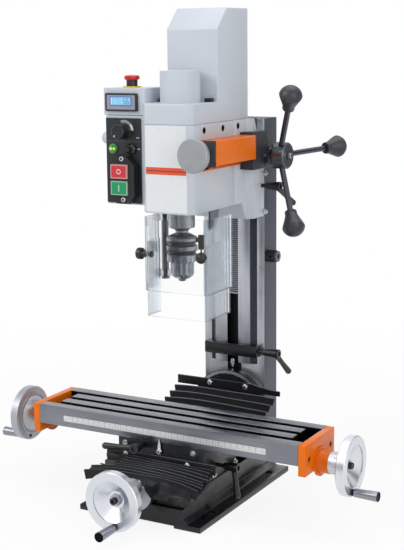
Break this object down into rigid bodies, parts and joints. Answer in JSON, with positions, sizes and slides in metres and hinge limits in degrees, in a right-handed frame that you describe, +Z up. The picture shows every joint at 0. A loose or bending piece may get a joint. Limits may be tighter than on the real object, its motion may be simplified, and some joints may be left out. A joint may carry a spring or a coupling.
{
  "type": "mill drill",
  "caption": "Bench mill drill: tilting dovetail column, geared head with drill chuck and clear guard, and a slotted cross table driven by handwheels.",
  "frame": {"origin": "centre of the four foot bolts, on the underside of the foot", "axes": "+Z up, +X to the right along the table, +Y to the back, so the front of the machine faces -Y"},
  "size_m": [0.661, 0.5369, 0.7479],
  "materials": {
    "cast_black": "black paint on cast iron",
    "slide_grey": "ground cast iron, grey paint on the sides",
    "table_steel": "fine ground face, dark slots",
    "white_paint": "light grey satin paint",
    "orange_paint": "orange powder coat",
    "black_plastic": "black plastic with a fine grain",
    "knob_grey": "dark grey plastic",
    "steel": "turned steel",
    "aluminium": "turned aluminium",
    "bronze": "bronze",
    "black_rubber": "matt rubber sheet",
    "motor_black": "black enamel",
    "clear_sheet": "clear plastic sheet",
    "red_plastic": "red plastic",
    "green_plastic": "green plastic"
  },
  "bodies": {
    "base": {"base": "cast_black", "tilt_pivot": "steel"},
    "saddle": {"saddle": "cast_black", "gib_screws": "steel", "lead_nuts": "bronze", "bellows_front": "black_rubber", "bellows_rear": "black_rubber"},
    "table": {"table": "table_steel", "end_plates": "orange_paint"},
    "table_screw": {"x_lead_screw": "steel", "x_dial": "aluminium", "x_wheels": "aluminium"},
    "right_grip": {"grip_right": "aluminium"},
    "left_grip": {"grip_left": "aluminium"},
    "cross_screw": {"y_lead_screw": "steel", "y_dial": "aluminium", "y_wheel": "aluminium"},
    "front_grip": {"grip_front": "aluminium"},
    "table_lock": {"x_lock_lever": "black_plastic"},
    "cross_lock": {"y_lock_lever": "black_plastic"},
    "column": {"column": "slide_grey", "rack": "steel", "spring_boss": "steel"},
    "stop": {"stop_collar": "cast_black"},
    "stop_lock": {"stop_lever": "black_plastic"},
    "head": {"head_slide": "white_paint", "head_body": "white_paint", "head_cover": "white_paint", "gear_case": "cast_black", "feed_cover": "orange_paint", "spindle_bearings": "steel", "motor": "motor_black", "drive_belt": "black_rubber", "guard_post": "steel", "control_box": "white_paint", "control_panel": "black_plastic", "display": "black_plastic", "power_lamp": "green_plastic", "switch_frame": "black_plastic"},
    "head_lock": {"head_lock_lever": "black_plastic"},
    "spindle": {"spindle": "steel", "chuck_body": "steel", "chuck_jaws": "steel"},
    "chuck_sleeve": {"chuck_sleeve": "steel"},
    "motor_shaft": {"motor_pulley": "steel"},
    "pinion": {"pinion_shaft": "steel"},
    "worm_gear": {"worm_wheel": "bronze"},
    "fine_feed": {"fine_feed": "steel"},
    "clutch": {"clutch_hub": "black_plastic", "feed_spokes": "steel", "feed_knobs": "knob_grey"},
    "guard": {"guard_outer": "clear_sheet", "guard_handle": "black_plastic"},
    "inner_guard": {"guard_inner": "clear_sheet"},
    "guard_clamp": {"guard_screw": "black_plastic"},
    "estop": {"estop_button": "red_plastic"},
    "speed": {"speed_knob": "black_plastic"},
    "direction": {"direction_switch": "black_plastic"},
    "stop_key": {"stop_button": "red_plastic"},
    "start_key": {"start_button": "green_plastic"}
  },
  "joints": [
    {"name": "table_screw_turn", "type": "hinge", "parent": "table", "child": "table_screw", "pos_m": [0.003, -0.0424, 0.0961], "axis": [1, 0, 0], "range_deg": [-19810, 19810]},
    {"name": "table_slide", "type": "slide", "parent": "saddle", "child": "table", "axis": [1, 0, 0], "range_m": [-0.11, 0.11]},
    {"name": "cross_screw_turn", "type": "hinge", "parent": "base", "child": "cross_screw", "pos_m": [0, -0.159, 0.0534], "axis": [0, 1, 0], "range_deg": [-8110, 8110]},
    {"name": "cross_slide", "type": "slide", "parent": "base", "child": "saddle", "axis": [0, 1, 0], "range_m": [-0.045, 0.045], "deforming": ["bellows_front", "bellows_rear"]},
    {"name": "right_grip_turn", "type": "hinge", "parent": "table_screw", "child": "right_grip", "pos_m": [0.294, -0.05072, 0.06005], "axis": [1, 0, 0], "continuous": true},
    {"name": "left_grip_turn", "type": "hinge", "parent": "table_screw", "child": "left_grip", "pos_m": [-0.288, -0.05072, 0.06005], "axis": [-1, 0, 0], "continuous": true},
    {"name": "front_grip_turn", "type": "hinge", "parent": "cross_screw", "child": "front_grip", "pos_m": [0.00387, -0.232, 0.0166], "axis": [0, -1, 0], "continuous": true},
    {"name": "table_lock_turn", "type": "hinge", "parent": "saddle", "child": "table_lock", "pos_m": [-0.031, -0.0933, 0.0945], "axis": [0, -1, 0], "range_deg": [-30, 30]},
    {"name": "cross_lock_turn", "type": "hinge", "parent": "saddle", "child": "cross_lock", "pos_m": [0.075, -0.052, 0.0665], "axis": [1, 0, 0], "range_deg": [-40, 40]},
    {"name": "column_tilt", "type": "hinge", "parent": "base", "child": "column", "pos_m": [0, 0.14, 0.095], "axis": [0, 1, 0], "range_deg": [-45, 45]},
    {"name": "stop_slide", "type": "slide", "parent": "column", "child": "stop", "axis": [0, 0, -1], "range_m": [-0.2, 0.018]},
    {"name": "stop_lock_turn", "type": "hinge", "parent": "stop", "child": "stop_lock", "pos_m": [0.048, 0.142, 0.19525], "axis": [1, 0, 0], "range_deg": [-60, 60]},
    {"name": "head_lift", "type": "slide", "parent": "column", "child": "head", "axis": [0, 0, -1], "range_m": [-0.01257, 0.1508]},
    {"name": "head_lock_turn", "type": "hinge", "parent": "head", "child": "head_lock", "pos_m": [0.0555, 0.1415, 0.4695], "axis": [1, 0, 0], "range_deg": [-60, 60]},
    {"name": "spindle_turn", "type": "hinge", "parent": "head", "child": "spindle", "pos_m": [0, -0.0205, 0.5], "axis": [0, 0, -1], "continuous": true},
    {"name": "motor_turn", "type": "hinge", "parent": "head", "child": "motor_shaft", "pos_m": [0, 0.0666, 0.6], "axis": [0, 0, -1], "continuous": true},
    {"name": "sleeve_turn", "type": "hinge", "parent": "spindle", "child": "chuck_sleeve", "pos_m": [0, -0.0205, 0.37], "axis": [0, 0, -1], "range_deg": [0, 1440]},
    {"name": "pinion_turn", "type": "hinge", "parent": "head", "child": "pinion", "pos_m": [0, 0.1345, 0.5196], "axis": [1, 0, 0], "range_deg": [-61, 721]},
    {"name": "worm_gear_turn", "type": "hinge", "parent": "head", "child": "worm_gear", "pos_m": [0.058, 0.1345, 0.5196], "axis": [1, 0, 0], "continuous": true},
    {"name": "fine_feed_turn", "type": "hinge", "parent": "head", "child": "fine_feed", "pos_m": [0.058, -0.09, 0.536], "axis": [0, 1, 0], "continuous": true},
    {"name": "clutch_slide", "type": "slide", "parent": "pinion", "child": "clutch", "axis": [1, 0, 0], "range_m": [-0.0043, 0]},
    {"name": "guard_swing", "type": "hinge", "parent": "head", "child": "guard", "pos_m": [-0.0395, -0.004, 0.38], "axis": [0, 0, -1], "range_deg": [0, 100]},
    {"name": "inner_guard_slide", "type": "slide", "parent": "guard", "child": "inner_guard", "axis": [0, 0, 1], "range_m": [-0.04, 0.04]},
    {"name": "guard_clamp_turn", "type": "hinge", "parent": "inner_guard", "child": "guard_clamp", "pos_m": [-0.044, -0.046, 0.3798], "axis": [-1, 0, 0], "range_deg": [0, 720]},
    {"name": "estop_press", "type": "slide", "parent": "head", "child": "estop", "axis": [0, 0, -1], "range_m": [0, 0.004]},
    {"name": "speed_turn", "type": "hinge", "parent": "head", "child": "speed", "pos_m": [-0.08, -0.052, 0.566], "axis": [0, -1, 0], "range_deg": [-135, 135]},
    {"name": "direction_turn", "type": "hinge", "parent": "head", "child": "direction", "pos_m": [-0.0674, -0.052, 0.539], "axis": [0, -1, 0], "range_deg": [-45, 45]},
    {"name": "stop_press", "type": "slide", "parent": "head", "child": "stop_key", "axis": [0, 1, 0], "range_m": [0, 0.0025], "stiffness_N_per_m": 900},
    {"name": "start_press", "type": "slide", "parent": "head", "child": "start_key", "axis": [0, 1, 0], "range_m": [0, 0.0025], "stiffness_N_per_m": 900}
  ],
  "couplings": [
    {"joint": "table_screw_turn", "follows": "table_slide", "rad_per_m": 3141.6},
    {"joint": "cross_screw_turn", "follows": "cross_slide", "rad_per_m": -3141.6},
    {"joint": "pinion_turn", "follows": "head_lift", "rad_per_m": 83.333},
    {"joint": "worm_gear_turn", "follows": "fine_feed_turn", "ratio": 0.038462},
    {"joint": "motor_turn", "follows": "spindle_turn", "ratio": 1.7143}
  ]
}
